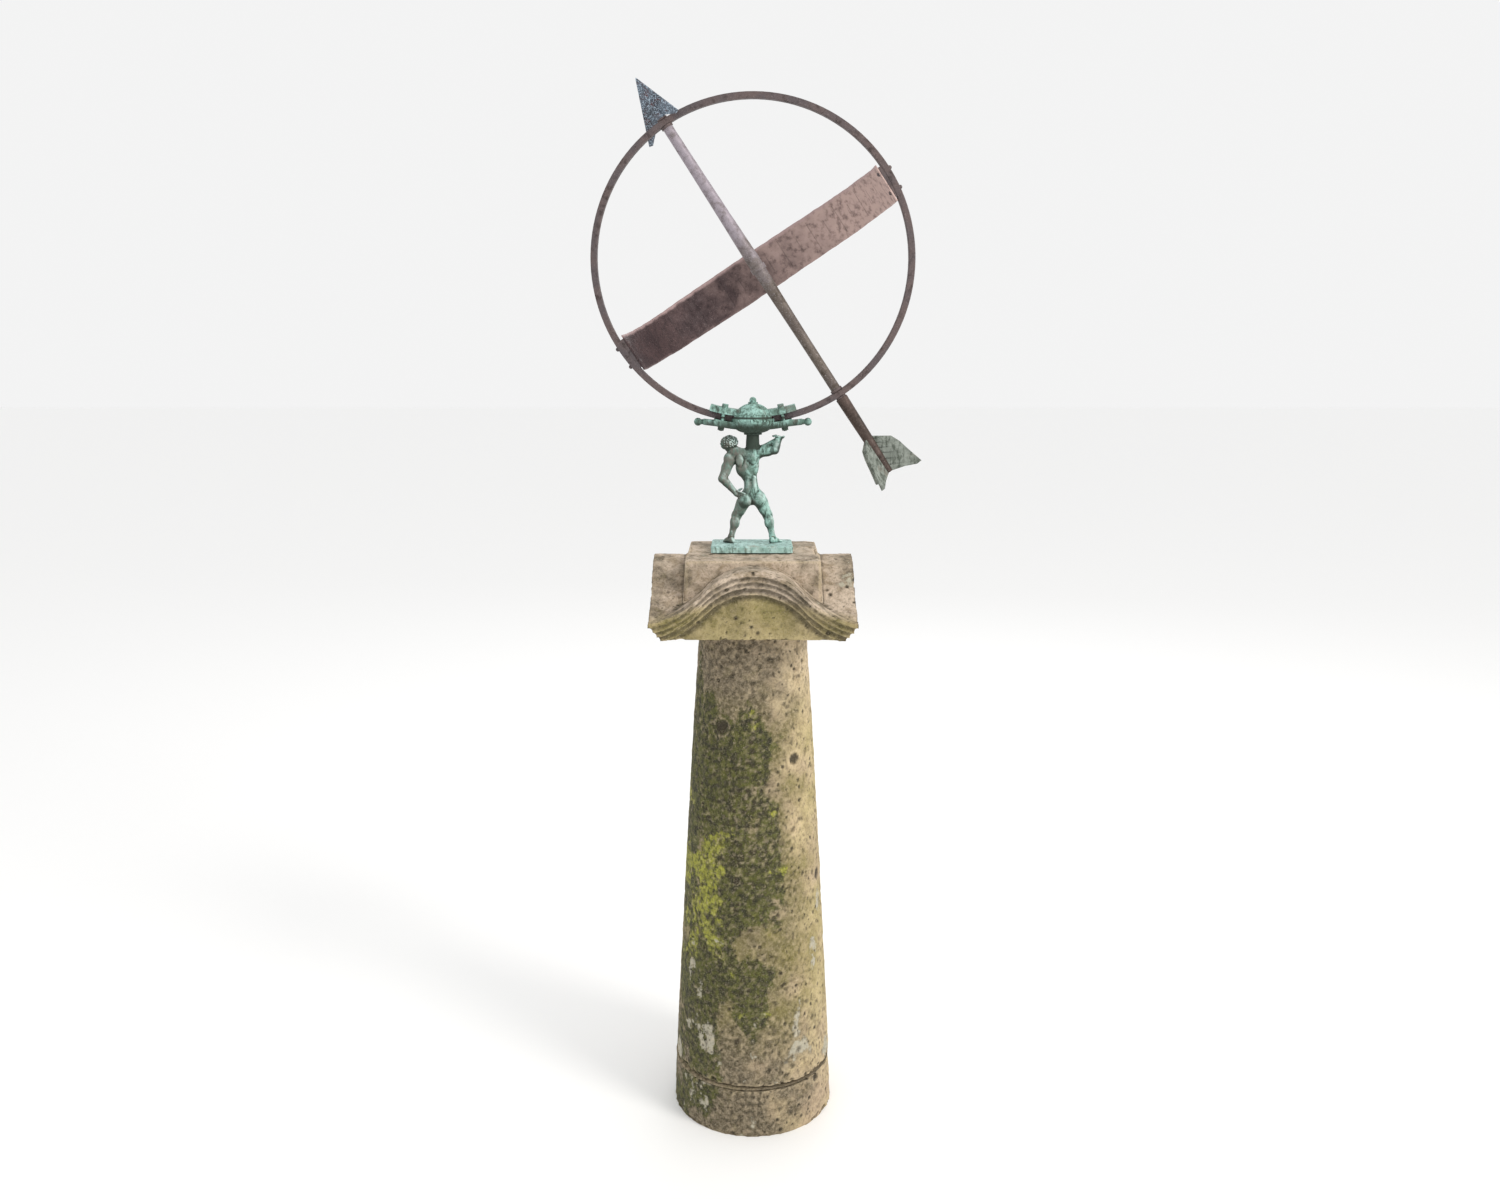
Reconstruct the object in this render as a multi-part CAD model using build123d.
from build123d import *
import math
import os

os.makedirs("parts", exist_ok=True)

# Garden armillary sundial.  Millimetres, +Z up, origin on the ground under the column's axis.
# The sphere's polar arrow lies in the XZ plane: its head points up and to -X.

# Stone pedestal
FOOT_R = 159.5
COLUMN_TOP_R = 105.0
COLUMN_SWELL = 2.8
DRUM_TOP_Z = 93.0
BED_H = 3.0
BED_INSET = 3.0
CAPITAL_Z = 972.0
CAPITAL_HALF = 190.0
GABLE_TOP_Z = 1108.0
CROWN_R = 119.0
SKIRT_R = 184.0
OGEE_TURN = 47.5
MOULD_RECESS = (7.0, 14.0, 21.0, 30.0)
MOULD_DROP = (14.0, 26.0, 38.0, 52.0)
SEAT_Z = 1030.0
BLOCK_HALF = 124.5
BLOCK_TOP_Z = 1116.0
DOWEL_R = 10.0
DOWEL_GAP = 0.2
FOOT_DOWEL_Z = (50.0, 140.0)
CAPITAL_DOWEL_Z = (910.0, 1005.0)
BLOCK_DOWEL_Z = (1008.0, 1072.0)
DOWEL_END_GAP = 5.0

# Bronze plate and figure
PLATE_SIZE = (154.0, 96.0, 12.0)
PLATE_X = -2.0
PLATE_TOP_Z = BLOCK_TOP_Z + PLATE_SIZE[2]
STUD_SPAN = 84.0
STUD_Y = 24.0
FIXING_R = 6.0
LEAD_R = 10.0
LEAD_DEPTH = 60.0
STUD_DEPTH = 52.0
STUD_COVER = 3.0
PIN_R = 3.0
PIN_PLACES = ((-41.0, -4.0), (37.0, -4.0))
PIN_TOP_Z = 1142.0
PIN_DEPTH = 9.0
THRUST_R = 17.0
THRUST_T = 3.0
STUB_R = 13.0
STUB_TOP_Z = 1335.0
STUB_LOW_Z = 1288.0

# Sphere
CENTRE = Vector(0, 0, 1657)
RING_R = 300.0
RING_T = 12.0
RING_W = 16.0
RING_IN = RING_R - RING_T
POLAR_TILT = 33.3
BAND_R = 281.0
BAND_T = 3.0
BAND_LOW_Z = -58.0
BAND_TOP_Z = 34.0
BAND_END_TOP_Z = 21.5
BAND_SHIFT = -18.0
HOUR_ANGLE = 15
ROD_MID_R = 13.0
ROD_END_R = 9.5
ROD_HALF = 283.0
SPIGOT_R = 5.0
TIP_Z = 388.0
LONG_BARB = (61.0, 280.0)
SHORT_BARB = (42.0, 294.0)
BLADE_TURN = -42.0
VANE_ROOT_Z = -394.0
TAIL_END_Z = -470.0
SPIGOT_HIGH_Z = 318.0
SPIGOT_LOW_Z = -328.0
RIVET_R = 2.5
RIVET_Z = (BAND_SHIFT - 20, BAND_SHIFT + 20)
RIVET_HEAD_R = 4.0
BRACKET_HALF = 31.0

# Pivot and clamp
PIVOT_R = 8.0
PIVOT_LOW_Z = 1300.0
PIVOT_TOP_Z = 1355.3
NUT_R = 12.2
NUT_H = 5.6
RUNNING_GAP = 0.05
BODY_GAP = 0.3
CUP_R = 41.0
CUP_BOTTOM_Z = 1338.3
CUP_TOP_Z = 1365.6
CUP_FOOT_R = 16.0
CUP_SIDE_Z = 1357.0
POCKET_R = 14.0
POCKET_Z = 1349.0
ARM_ANGLE = 14.0
ARM_T = 13.0
HORN_END = (93.0, 1359.0)
HORN_T = 11.0
HORN_W = 15.0
KNOB_R = 7.5
ARM_W = 42.0
BAR_ANGLE = 16.5
BAR_T = 11.5
DOME_TOP_Z = 1394.0
DOME_EDGE_Z = 1371.0
DOME_R = 36.0
FINIAL_R = 9.0
FINIAL_SEAT_Z = DOME_TOP_Z - 1.2
BOLT_R = 3.0
BOLT_ANGLE = 11.0
BOLT_HEAD_R = 5.8
BOLT_HEAD_H = 4.5
WASHER_R = 6.4
WASHER_T = 1.5
BOLT_Y = 15.0
FIT_GAP = 0.1


def save(shape, node):
    export_step(shape, f"parts/{node}.step")


def group(solids):
    return Compound(children=list(solids))


def post(radius, low_z, high_z, x=0.0, y=0.0):
    """Upright round bar between two heights."""
    return Pos(x, y, (low_z + high_z) / 2) * Cylinder(radius, high_z - low_z)


def slab(size_x, size_y, low_z, high_z):
    return Pos(0, 0, (low_z + high_z) / 2) * Box(size_x, size_y, high_z - low_z)


def turned(outline):
    """Solid of revolution about Z from a closed outline in (radius, height)."""
    return revolve(make_face(Plane.XZ * outline), Axis.Z)


def bored(low_z, high_z, outer_r, inner_r):
    return post(outer_r, low_z, high_z) - post(inner_r, low_z - 1, high_z + 1)


def on_polar(shape):
    """Place a shape made about Z so that Z becomes the polar axis, towards the arrow's tip."""
    return Pos(*CENTRE) * Rot(0, -POLAR_TILT, 0) * shape


def on_radius(angle, y, shape):
    """Place a shape made about Z so that Z runs from the sphere's centre out past the clamp."""
    return Pos(*CENTRE) * Rot(0, 180 - angle, 0) * Pos(0, y, 0) * shape


def drum_about_y(radius, width):
    return Pos(*CENTRE) * Rot(90, 0, 0) * Cylinder(radius, width)


# ---------------------------------------------------------------- stone pedestal

def column_blank():
    middle = ((FOOT_R + COLUMN_TOP_R) / 2 + COLUMN_SWELL, CAPITAL_Z / 2)
    side = ThreePointArc((FOOT_R, 0), middle, (COLUMN_TOP_R, CAPITAL_Z))
    ends = Polyline((COLUMN_TOP_R, CAPITAL_Z), (0, CAPITAL_Z), (0, 0), (FOOT_R, 0))
    return turned(ends + side)


def column_slice(low_z, high_z, inset=0.0):
    piece = column_blank() & slab(2 * FOOT_R, 2 * FOOT_R, low_z, high_z)
    if inset:
        radius = piece.bounding_box().size.X / 2 - inset
        piece = piece & post(radius, low_z, high_z)
    return piece


def ogee_line(drop):
    """Gable outline from corner to corner: a round crown between two hollow skirts."""
    turn = math.radians(OGEE_TURN)
    join_x = CROWN_R * math.sin(turn)
    join_z = GABLE_TOP_Z - drop - CROWN_R * (1 - math.cos(turn))
    hub_x = join_x + SKIRT_R * math.sin(turn)
    hub_z = join_z + SKIRT_R * math.cos(turn)
    end = math.asin((hub_x - CAPITAL_HALF) / SKIRT_R)

    def skirt(angle, side):
        return (side * (hub_x - SKIRT_R * math.sin(angle)), hub_z - SKIRT_R * math.cos(angle))

    half = (turn + end) / 2
    left = ThreePointArc(skirt(end, -1), skirt(half, -1), (-join_x, join_z))
    crown = ThreePointArc((-join_x, join_z), (0, GABLE_TOP_Z - drop), (join_x, join_z))
    right = ThreePointArc((join_x, join_z), skirt(half, 1), skirt(end, 1))
    return left + crown + right, skirt(end, 1)[1]


def ogee_face(drop, low_z, reach):
    line, end_z = ogee_line(drop)
    frame = Polyline(
        (CAPITAL_HALF, end_z),
        (reach, end_z),
        (reach, low_z),
        (-reach, low_z),
        (-reach, end_z),
        (-CAPITAL_HALF, end_z),
    )
    return make_face(Plane.XZ * (line + frame))


def gable_roof():
    line, end_z = ogee_line(0)
    frame = Polyline(
        (CAPITAL_HALF, end_z),
        (CAPITAL_HALF, CAPITAL_Z),
        (-CAPITAL_HALF, CAPITAL_Z),
        (-CAPITAL_HALF, end_z),
    )
    return extrude(make_face(Plane.XZ * (line + frame)), CAPITAL_HALF, both=True)


def gable_recess(drop, depth):
    """Prism that sets the gable's face back by depth, below the lowered outline."""
    margin = 2.0
    face = ogee_face(drop, CAPITAL_Z - margin, CAPITAL_HALF + margin)
    prism = extrude(face, depth + margin)
    shift = -CAPITAL_HALF + depth - prism.bounding_box().max.Y
    return Pos(0, shift, 0) * prism


def capital():
    body = gable_roof() + Rot(0, 0, 90) * gable_roof()
    for depth, drop in zip(MOULD_RECESS, MOULD_DROP):
        recess = gable_recess(drop, depth)
        for quarter in range(4):
            body -= Rot(0, 0, 90 * quarter) * recess
    seat = slab(2 * BLOCK_HALF, 2 * BLOCK_HALF, SEAT_Z, GABLE_TOP_Z + 1)
    return body - seat - dowel_hole((CAPITAL_Z, SEAT_Z))


def stud_places():
    return [(x, STUD_Y) for x in (-STUD_SPAN / 2, STUD_SPAN / 2)]


def dowel_hole(heights):
    low_z, high_z = heights
    return post(DOWEL_R + DOWEL_GAP, low_z - DOWEL_END_GAP, high_z + DOWEL_END_GAP)


def plinth_block():
    body = slab(2 * BLOCK_HALF, 2 * BLOCK_HALF, SEAT_Z + BED_H, BLOCK_TOP_Z)
    body = chamfer(body.edges().group_by(Axis.Z)[-1], 4)
    body -= dowel_hole(BLOCK_DOWEL_Z)
    for x, y in stud_places():
        body -= post(LEAD_R, BLOCK_TOP_Z - LEAD_DEPTH, BLOCK_TOP_Z + 1, x, y)
    return body


def block_mortar():
    side = 2 * (BLOCK_HALF - BED_INSET)
    return slab(side, side, SEAT_Z, SEAT_Z + BED_H) - dowel_hole(BLOCK_DOWEL_Z)


def column_shaft():
    shaft = column_slice(DRUM_TOP_Z + BED_H, CAPITAL_Z - BED_H)
    return shaft - dowel_hole(FOOT_DOWEL_Z) - dowel_hole(CAPITAL_DOWEL_Z)


def make_pedestal():
    foot_hole = dowel_hole(FOOT_DOWEL_Z)
    top_hole = dowel_hole(CAPITAL_DOWEL_Z)
    save(column_slice(0, DRUM_TOP_Z) - foot_hole, "base_drum")
    save(column_slice(DRUM_TOP_Z, DRUM_TOP_Z + BED_H, BED_INSET) - foot_hole, "drum_mortar")
    save(column_shaft(), "column_shaft")
    save(column_slice(CAPITAL_Z - BED_H, CAPITAL_Z, BED_INSET) - top_hole, "capital_mortar")
    save(capital(), "capital")
    save(block_mortar(), "block_mortar")
    save(plinth_block(), "plinth_block")
    save(post(DOWEL_R, *FOOT_DOWEL_Z), "foot_dowel")
    save(post(DOWEL_R, *CAPITAL_DOWEL_Z), "capital_dowel")
    save(post(DOWEL_R, *BLOCK_DOWEL_Z), "block_dowel")


# ---------------------------------------------------------------- plate and figure

def base_plate():
    width, depth, _ = PLATE_SIZE
    body = Pos(PLATE_X, 0, 0) * slab(width, depth, BLOCK_TOP_Z, PLATE_TOP_Z)
    body = fillet(body.edges().filter_by(Axis.Z), 6)
    body = chamfer(body.edges().group_by(Axis.Z)[-1], 2)
    for x, y in stud_places():
        body -= post(FIXING_R, BLOCK_TOP_Z - 1, PLATE_TOP_Z - STUD_COVER, x, y)
    for x, y in PIN_PLACES:
        body -= post(PIN_R, PLATE_TOP_Z - PIN_DEPTH, PLATE_TOP_Z + 1, x, y)
    return body


def fixing_studs():
    low_z = BLOCK_TOP_Z - STUD_DEPTH
    high_z = PLATE_TOP_Z - STUD_COVER
    return group(post(FIXING_R, low_z, high_z, x, y) for x, y in stud_places())


def lead_plugs():
    plugs = []
    for x, y in stud_places():
        plug = post(LEAD_R, BLOCK_TOP_Z - LEAD_DEPTH, BLOCK_TOP_Z, x, y)
        plugs.append(plug - post(FIXING_R, BLOCK_TOP_Z - STUD_DEPTH, BLOCK_TOP_Z + 1, x, y))
    return group(plugs)


def limb(start, end, start_r, end_r):
    """Round tapered limb with ball ends."""
    start = Vector(*start)
    end = Vector(*end)
    along = end - start
    bar = Cone(start_r, end_r, along.length)
    place = Plane(origin=(start + end) * 0.5, z_dir=along.normalized())
    balls = Pos(*start) * Sphere(start_r) + Pos(*end) * Sphere(end_r)
    return place.location * bar + balls


def ball(centre, radius):
    return Pos(*centre) * Sphere(radius)


def leg(side, ankle, knee, hip, toe):
    heel = (ankle[0] - side, ankle[1] - 4, ankle[2] - 9)
    return (
        limb(hip, knee, 13.5, 9.4)
        + limb(knee, ankle, 9.2, 5.6)
        + limb(ankle, toe, 5.8, 4.4)
        + ball(heel, 6.2)
    )


def atlas_figure():
    """Standing bearer, legs apart, trunk bent to -X, one arm raised and one hand on the hip."""
    left_leg = leg(-1, (-41, 0, 1142), (-31, 9, 1180), (-14, 0, 1213), (-57, 8, 1133))
    right_leg = leg(1, (37, 0, 1142), (28, 9, 1181), (11, 0, 1214), (53, 8, 1133))
    trunk = (
        limb((-2, -1, 1218), (-4, 0, 1246), 18.5, 13.5)
        + limb((-4, 0, 1246), (-12, 3, 1279), 13.4, 20.5)
        + limb((-36, 1, 1289), (4, 0, 1299), 11.6, 12.0)
    )
    raised_arm = limb((8, 0, 1300), (40, -6, 1306), 10.5, 8.2)
    raised_arm += limb((40, -6, 1306), (49, -1, 1328), 8.0, 6.0)
    bent_arm = limb((-42, 1, 1287), (-57, -6, 1252), 10.8, 8.2)
    bent_arm += limb((-57, -6, 1252), (-31, -3, 1223), 8.0, 5.8)
    head = limb((-28, 3, 1294), (-40, 7, 1308), 10.0, 9.5)
    head += ball((-46, 9, 1318.5), 15.5)
    head += ball((-49, 13, 1311), 12.0)
    stub = post(STUB_R, STUB_LOW_Z, STUB_TOP_Z)
    body = trunk + left_leg + right_leg + raised_arm + bent_arm + head + stub
    body &= slab(200, 200, PLATE_TOP_Z, STUB_TOP_Z)
    for x, y in PIN_PLACES:
        body -= post(PIN_R, PLATE_TOP_Z - 1, PIN_TOP_Z, x, y)
    return body - post(PIVOT_R, PIVOT_LOW_Z, STUB_TOP_Z + 1)


def foot_pins():
    return group(post(PIN_R, PLATE_TOP_Z - PIN_DEPTH, PIN_TOP_Z, x, y) for x, y in PIN_PLACES)


def pivot_nut():
    nut = extrude(Plane.XY * RegularPolygon(NUT_R, 6), NUT_H)
    return Pos(0, 0, POCKET_Z + BODY_GAP) * nut - post(PIVOT_R, POCKET_Z, POCKET_Z + NUT_H + 1)


def make_statue():
    save(base_plate(), "base_plate")
    save(foot_pins(), "foot_pins")
    save(fixing_studs(), "fixing_studs")
    save(lead_plugs(), "lead_plugs")
    save(atlas_figure(), "atlas_figure")
    save(post(PIVOT_R, PIVOT_LOW_Z, PIVOT_TOP_Z), "pivot_stud")
    save(bored(STUB_TOP_Z, STUB_TOP_Z + THRUST_T, THRUST_R, PIVOT_R), "thrust_washer")
    save(pivot_nut(), "pivot_nut")


# ---------------------------------------------------------------- clamp

def sector(inner_r, outer_r, half_angle, width):
    """Curved bar under the sphere's centre, between two radii and two equal angles."""
    bar = drum_about_y(outer_r, width) - drum_about_y(inner_r, width + 2)
    reach = 2 * outer_r
    side = math.tan(math.radians(half_angle)) * reach
    wedge = make_face(Plane.XZ * Polyline((0, 0), (side, -reach), (-side, -reach), (0, 0)))
    return bar & (Pos(*CENTRE) * extrude(wedge, width, both=True))


def bolt_places():
    return [(angle, y) for angle in (-BOLT_ANGLE, BOLT_ANGLE) for y in (-BOLT_Y, BOLT_Y)]


def bolt_holes(low_r, high_r):
    hole = post(BOLT_R + FIT_GAP, low_r, high_r)
    return [on_radius(angle, y, hole) for angle, y in bolt_places()]


def horn(side):
    """Straight tapered end of an arm, dropping away below the ring to its knob."""
    end_x, end_z = HORN_END
    outline = Polyline(
        (side * 30, end_z - 13),
        (side * end_x, end_z - HORN_T / 2),
        (side * end_x, end_z + HORN_T / 2),
        (side * 56, end_z + 2),
        (side * 30, end_z - 2),
        (side * 30, end_z - 13),
    )
    return extrude(make_face(Plane.XZ * outline), HORN_W / 2, both=True)


def knob_place(side, shape):
    """Place a shape made about Z on the end of a horn, Z pointing outwards."""
    end_x, end_z = HORN_END
    return Pos(side * end_x, 0, end_z) * Rot(0, side * 90, 0) * shape


def clamp_cup():
    """Round cup with two arms that follow the ring's outside and carry the clamp bolts."""
    side = ThreePointArc((CUP_FOOT_R, CUP_BOTTOM_Z), (33, 1345.5), (CUP_R, CUP_SIDE_Z))
    rest = Polyline(
        (CUP_R, CUP_SIDE_Z),
        (CUP_R, CUP_TOP_Z),
        (0, CUP_TOP_Z),
        (0, CUP_BOTTOM_Z),
        (CUP_FOOT_R, CUP_BOTTOM_Z),
    )
    body = turned(side + rest) + horn(-1) + horn(1)
    body += sector(RING_R + BODY_GAP, RING_R + ARM_T, ARM_ANGLE, ARM_W)
    body -= drum_about_y(RING_R + BODY_GAP, RING_W + 2 * BODY_GAP)
    body -= post(PIVOT_R + RUNNING_GAP, CUP_BOTTOM_Z - 1, CUP_TOP_Z)
    body -= post(POCKET_R, POCKET_Z, CUP_TOP_Z + 1)
    for hole in bolt_holes(RING_R - 2, RING_R + ARM_T + 2):
        body -= hole
    for end in (-1, 1):
        body -= knob_place(end, post(BOLT_R, -8, 3))
    return body


def arm_knob():
    return post(BOLT_R, -8, 8) + post(5.0, 0, 4) + Pos(0, 0, 10.5) * Sphere(KNOB_R)


def clamp_bar():
    outer_r = RING_IN - BODY_GAP
    body = sector(outer_r - BAR_T, outer_r, BAR_ANGLE, ARM_W)
    for hole in bolt_holes(outer_r - BAR_T - 2, outer_r + 2):
        body -= hole
    return body - post(BOLT_R, 1370, 1390)


def clamp_dome():
    """Domed cap with a flat rim that straddles the bar and closes over the cup."""
    low_z = CUP_TOP_Z + BODY_GAP
    crown = ThreePointArc((DOME_R, DOME_EDGE_Z), (21.3, DOME_TOP_Z - 6.2), (0, DOME_TOP_Z))
    rest = Polyline(
        (0, DOME_TOP_Z),
        (0, low_z),
        (CUP_R, low_z),
        (CUP_R, DOME_EDGE_Z),
        (DOME_R, DOME_EDGE_Z),
    )
    body = turned(crown + rest)
    top_r = RING_IN - BODY_GAP - BAR_T
    band = drum_about_y(RING_R + 30, ARM_W + 2 * FIT_GAP) - drum_about_y(top_r, ARM_W + 2)
    seat = post(FINIAL_R + FIT_GAP, FINIAL_SEAT_Z, DOME_TOP_Z + 1)
    return body - band - seat - post(BOLT_R, 1370, 1400)


def dome_finial():
    collar = post(FINIAL_R, FINIAL_SEAT_Z, DOME_TOP_Z + 2)
    return post(BOLT_R, 1372, FINIAL_SEAT_Z + 1) + collar + ball((0, 0, DOME_TOP_Z + 5), 6.5)


def clamp_bolt():
    head_r = RING_IN - BODY_GAP - BAR_T - WASHER_T
    shank = post(BOLT_R, head_r - 1, RING_R + ARM_T + 7)
    hexagon = Plane.XY * RegularPolygon(BOLT_HEAD_R, 6)
    return shank + Pos(0, 0, head_r - BOLT_HEAD_H) * extrude(hexagon, BOLT_HEAD_H)


def bolt_nut():
    low = RING_R + ARM_T + WASHER_T
    nut = Pos(0, 0, low) * extrude(Plane.XY * RegularPolygon(BOLT_HEAD_R, 6), BOLT_HEAD_H)
    return nut - post(BOLT_R, low - 1, low + BOLT_HEAD_H + 1)


def bolt_washers():
    top = RING_IN - BODY_GAP - BAR_T
    low = RING_R + ARM_T
    upper = bored(top - WASHER_T, top - FIT_GAP, WASHER_R, BOLT_R)
    lower = bored(low, low + WASHER_T, WASHER_R, BOLT_R)
    return [upper, lower]


def make_clamp():
    save(clamp_cup(), "clamp_cup")
    save(group(knob_place(end, arm_knob()) for end in (-1, 1)), "arm_knobs")
    save(clamp_bar(), "clamp_bar")
    save(clamp_dome(), "clamp_dome")
    save(dome_finial(), "dome_finial")
    save(group(on_radius(a, y, clamp_bolt()) for a, y in bolt_places()), "clamp_bolts")
    save(group(on_radius(a, y, bolt_nut()) for a, y in bolt_places()), "clamp_nuts")
    washers = [on_radius(a, y, w) for a, y in bolt_places() for w in bolt_washers()]
    save(group(washers), "clamp_washers")


# ---------------------------------------------------------------- sphere

def along_x(radius, start_x, end_x, z):
    return Pos((start_x + end_x) / 2, 0, z) * Rot(0, 90, 0) * Cylinder(radius, abs(end_x - start_x))


def rivet_holes():
    """Through band, bracket and ring at both ends of the band, in the polar frame."""
    radius = RIVET_R + FIT_GAP / 2
    return [along_x(radius, side * 270, side * 310, z) for side in (-1, 1) for z in RIVET_Z]


def meridian_ring():
    body = drum_about_y(RING_R, RING_W) - drum_about_y(RING_IN, RING_W + 2)
    body = fillet(body.edges(), 1.5)
    body -= on_polar(post(SPIGOT_R + FIT_GAP, -310, 310))
    for hole in rivet_holes():
        body -= on_polar(hole)
    return body


def hour_line(angle, length):
    """Shallow groove on the band's inner face."""
    groove = Pos(BAND_R - BAND_T, 0, BAND_SHIFT) * Box(1.2, 1.6, length)
    return Rot(0, 0, angle) * groove


def band_outline():
    """Side view of the band along local Y: straight below, gently arched above."""
    reach = BAND_R + 2
    arch = ThreePointArc((-reach, BAND_END_TOP_Z), (0, BAND_TOP_Z), (reach, BAND_END_TOP_Z))
    rest = Polyline(
        (reach, BAND_END_TOP_Z),
        (reach, BAND_LOW_Z),
        (-reach, BAND_LOW_Z),
        (-reach, BAND_END_TOP_Z),
    )
    return extrude(make_face(Plane.XZ * (arch + rest)), reach, both=True)


def equatorial_band():
    """Half ring on the +Y side of the arrow, hour lines on its inner face."""
    body = bored(BAND_LOW_Z, BAND_TOP_Z, BAND_R, BAND_R - BAND_T)
    body &= band_outline()
    body &= Pos(0, 300 - RING_W / 2, 0) * Box(700, 600, 200)
    for angle in range(HOUR_ANGLE, 180, HOUR_ANGLE):
        body -= hour_line(angle, 56)
    for angle in range(HOUR_ANGLE, 165, HOUR_ANGLE):
        body -= hour_line(angle + HOUR_ANGLE / 2, 26)
    for hole in rivet_holes():
        body -= hole
    return on_polar(body)


def band_bracket(side):
    """Packing block between the band's outside and the ring's inside."""
    block = Pos(side * 280, 0, BAND_SHIFT) * Box(40, RING_W - 2, 2 * BRACKET_HALF)
    block &= Rot(90, 0, 0) * Cylinder(RING_IN, RING_W)
    block -= post(BAND_R, -100, 100)
    for hole in rivet_holes():
        block -= hole
    return on_polar(block)


def rivet(side, z):
    inner_x = BAND_R - BAND_T
    outer_x = math.sqrt(RING_R**2 - z**2)
    shank = along_x(RIVET_R, side * (inner_x - 1), side * (outer_x + 1), z)
    head = Pos(side * (inner_x - 0.1), 0, z) * Sphere(RIVET_HEAD_R)
    head &= Pos(side * (inner_x - 5.1), 0, z) * Box(10, 9, 9)
    tail = Pos(side * (outer_x + 0.6), 0, z) * Sphere(RIVET_HEAD_R)
    tail &= Pos(side * (outer_x + 5.6), 0, z) * Box(10, 9, 9)
    return on_polar(shank + head + tail)


def gnomon_rod():
    """Round bar, thickest at the middle, with a spigot at each end."""
    upper = ThreePointArc((ROD_END_R, ROD_HALF), (10.7, 140), (ROD_MID_R, 0))
    lower = ThreePointArc((ROD_MID_R, 0), (10.1, -140), (ROD_END_R, -ROD_HALF))
    rest = Polyline(
        (ROD_END_R, -ROD_HALF),
        (SPIGOT_R, -ROD_HALF),
        (SPIGOT_R, SPIGOT_LOW_Z),
        (0, SPIGOT_LOW_Z),
        (0, SPIGOT_HIGH_Z),
        (SPIGOT_R, SPIGOT_HIGH_Z),
        (SPIGOT_R, ROD_HALF),
        (ROD_END_R, ROD_HALF),
    )
    return turned(upper + lower + rest)


def gnomon_washers():
    """Washers inside and outside the ring at both ends of the rod."""
    sizes = ((ROD_HALF, RING_IN - 0.6, 11.5), (RING_R + FIT_GAP, RING_R + 3, 10.0))
    washers = [bored(low, high, radius, SPIGOT_R) for low, high, radius in sizes]
    washers += [bored(-high, -low, radius, SPIGOT_R) for low, high, radius in sizes]
    return group(on_polar(washer) for washer in washers)


def nodus_collar():
    """Sleeve on the rod at the middle of the hour band; its edge marks the date."""
    blank = post(ROD_MID_R + 1.8, BAND_SHIFT - 5, BAND_SHIFT + 5)
    return on_polar(blank - post(ROD_MID_R, BAND_SHIFT - 6, BAND_SHIFT + 6))


def arrowhead():
    """Flat two-barbed head on a round core; the barbs straddle the ring, one shorter."""
    base_z = RING_R + 3.2
    long_x, long_z = LONG_BARB
    short_x, short_z = SHORT_BARB
    core = turned(
        Polyline((0, base_z), (9.0, base_z), (7.5, 330), (0.6, TIP_Z), (0, TIP_Z), (0, base_z))
    )
    blade = make_face(
        Plane.XZ
        * Polyline(
            (0, TIP_Z - 1),
            (short_x, short_z),
            (short_x - 7, short_z - 2),
            (10, 305),
            (-10, 305),
            (7 - long_x, long_z - 2),
            (-long_x, long_z),
            (0, TIP_Z - 1),
        )
    )
    body = core + Rot(0, 0, BLADE_TURN) * extrude(blade, 1.8, both=True)
    return on_polar(body - post(SPIGOT_R, RING_R, SPIGOT_HIGH_Z))


def tail_shaft():
    base_z = -(RING_R + 3.2)
    side = Polyline(
        (0, base_z),
        (11.5, base_z),
        (10.0, VANE_ROOT_Z),
        (7.5, TAIL_END_Z),
        (0, TAIL_END_Z),
        (0, base_z),
    )
    body = turned(side) - post(SPIGOT_R, SPIGOT_LOW_Z, -RING_R)
    for turn in (0, 120, 240):
        slot = Pos(8, 0, (VANE_ROOT_Z + TAIL_END_Z) / 2 - 4) * Box(8, 3, VANE_ROOT_Z - TAIL_END_Z + 8)
        body -= Rot(0, 0, turn) * slot
    return on_polar(body)


def tail_vane(turn):
    """Flat fletching plate with a raked trailing edge."""
    outline = Polyline(
        (4, VANE_ROOT_Z),
        (9, VANE_ROOT_Z),
        (40, VANE_ROOT_Z - 20),
        (48, VANE_ROOT_Z - 37),
        (54, VANE_ROOT_Z - 60),
        (63, VANE_ROOT_Z - 91),
        (53, VANE_ROOT_Z - 92),
        (31, VANE_ROOT_Z - 83),
        (4, TAIL_END_Z),
        (4, VANE_ROOT_Z),
    )
    plate = extrude(make_face(Plane.XZ * outline), 1.5, both=True)
    return on_polar(Rot(0, 0, turn) * plate)


def make_sphere():
    save(meridian_ring(), "meridian_ring")
    save(equatorial_band(), "equatorial_band")
    save(group(band_bracket(side) for side in (-1, 1)), "band_brackets")
    save(group(rivet(side, z) for side in (-1, 1) for z in RIVET_Z), "band_rivets")
    save(on_polar(gnomon_rod()), "gnomon_rod")
    save(gnomon_washers(), "gnomon_washers")
    save(nodus_collar(), "nodus_collar")
    save(arrowhead(), "arrowhead")
    save(tail_shaft(), "tail_shaft")
    for name, turn in (("side", 0), ("rear", 120), ("front", 240)):
        save(tail_vane(turn), f"tail_vane_{name}")


make_pedestal()
make_statue()
make_clamp()
make_sphere()
